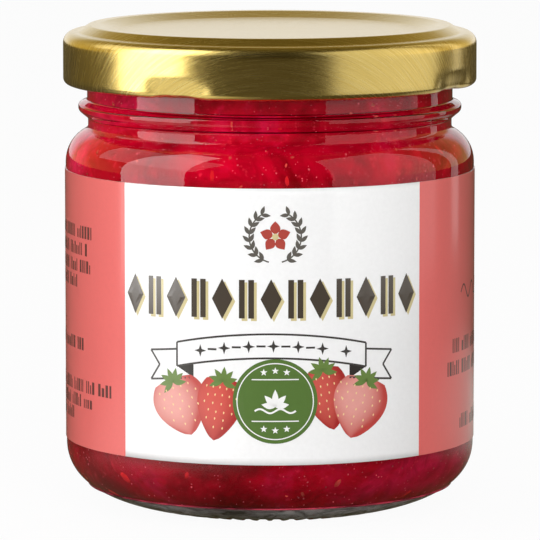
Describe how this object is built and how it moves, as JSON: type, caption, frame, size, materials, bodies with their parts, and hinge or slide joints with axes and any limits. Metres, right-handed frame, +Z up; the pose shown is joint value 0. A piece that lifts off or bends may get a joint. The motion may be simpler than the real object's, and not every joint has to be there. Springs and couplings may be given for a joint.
{
  "type": "jam jar",
  "caption": "Round glass jar of red strawberry jam with a wrap-around paper label, a rolled neck bead and a gold twist-off metal lid.",
  "frame": {"origin": "centre of the ring that the jar stands on, in the plane of the surface under it", "axes": "+Z up along the jar's axis; the middle of the label's front panel faces -Y; +X is to the right of someone who reads the label"},
  "size_m": [0.0702, 0.0702, 0.0822],
  "materials": {
    "clear_glass": "clear flint glass with a faint green tint at the edges",
    "strawberry_jam": "translucent dark red fruit jam with seeds and pulp",
    "printed_paper": null,
    "gold_tinplate": "gold lacquer on linearly brushed tinplate"
  },
  "bodies": {
    "root": {"glass_jar": "clear_glass", "jam": "strawberry_jam", "label": "printed_paper", "lid": "gold_tinplate"}
  },
  "joints": []
}
